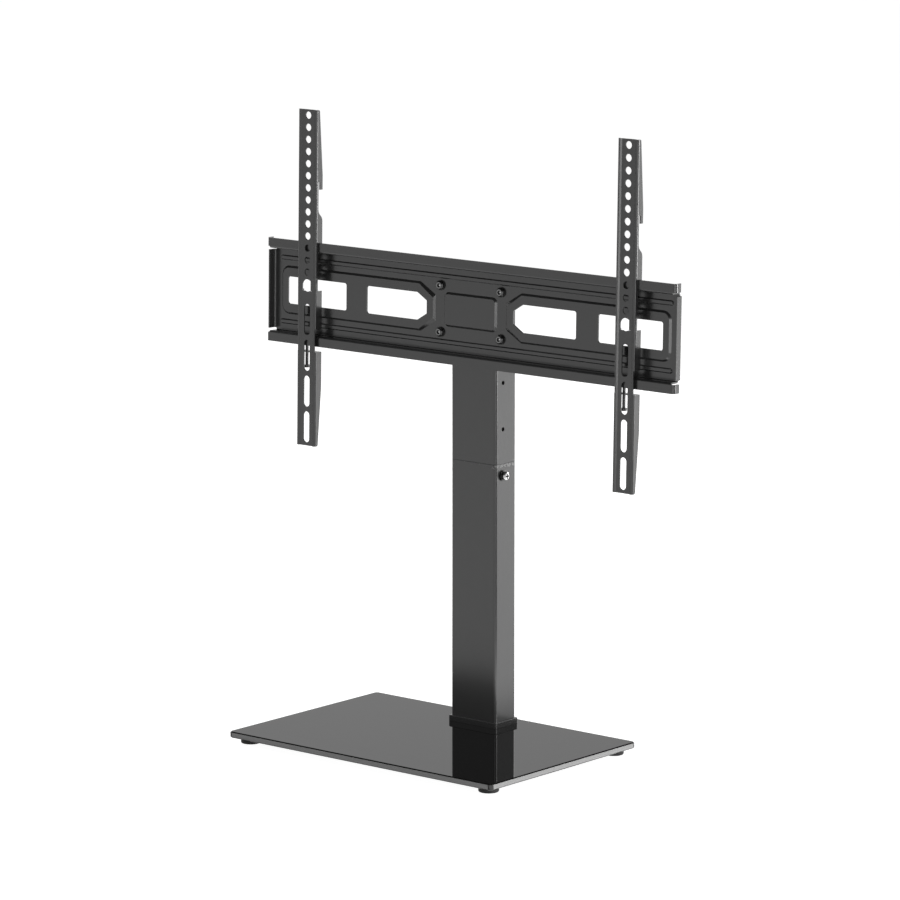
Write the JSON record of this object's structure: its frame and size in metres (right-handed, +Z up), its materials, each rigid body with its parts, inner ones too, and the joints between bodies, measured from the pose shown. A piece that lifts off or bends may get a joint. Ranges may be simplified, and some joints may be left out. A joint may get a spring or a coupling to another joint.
{
  "type": "television stand with mount",
  "caption": "Table-top television stand: glass base, height-adjustable column, slotted rail plate and hooked bracket arms that slide along it.",
  "frame": {"origin": "middle of the glass base's footprint, on the surface that the feet stand on", "axes": "+Z up, +X to the right for someone facing the screen, +Y to the back, away from that person"},
  "size_m": [0.6476, 0.28, 0.767],
  "materials": {
    "powder_coat": "fine-textured matt black powder coat",
    "black_glass": "black tempered glass, polished edges",
    "black_rubber": "matt",
    "black_plastic": "moulded, satin",
    "black_steel": "black oxide",
    "bright_zinc": "zinc plated"
  },
  "bodies": {
    "stand": {"glass_base": "black_glass", "foot_front_left": "black_rubber", "foot_front_right": "black_rubber", "foot_rear_left": "black_rubber", "foot_rear_right": "black_rubber", "upper_gasket": "black_rubber", "lower_gasket": "black_rubber", "clamp_plate": "powder_coat", "base_bolts": "black_steel", "base_collar": "black_plastic", "column_foot": "powder_coat", "lower_column": "powder_coat", "lock_screw_right": "bright_zinc", "lock_screw_left": "bright_zinc", "lock_washer_right": "black_plastic", "lock_washer_left": "black_plastic"},
    "head": {"inner_column": "powder_coat", "upper_column": "powder_coat", "column_cap": "black_plastic", "head_bracket": "powder_coat", "head_bolts": "black_steel", "head_washers": "black_steel", "head_nuts": "black_steel", "rail_plate": "powder_coat"},
    "left_arm": {"left_arm": "powder_coat", "left_arm_screw": "black_steel"},
    "right_arm": {"right_arm": "powder_coat", "right_arm_screw": "black_steel"}
  },
  "joints": [
    {"name": "column_height", "type": "slide", "parent": "stand", "child": "head", "axis": [0, 0, 1], "range_m": [0, 0.1156]},
    {"name": "left_arm_slide", "type": "slide", "parent": "head", "child": "left_arm", "axis": [-1, 0, 0], "range_m": [-0.2026, 0.0474]},
    {"name": "right_arm_slide", "type": "slide", "parent": "head", "child": "right_arm", "axis": [1, 0, 0], "range_m": [-0.2026, 0.0474]}
  ]
}
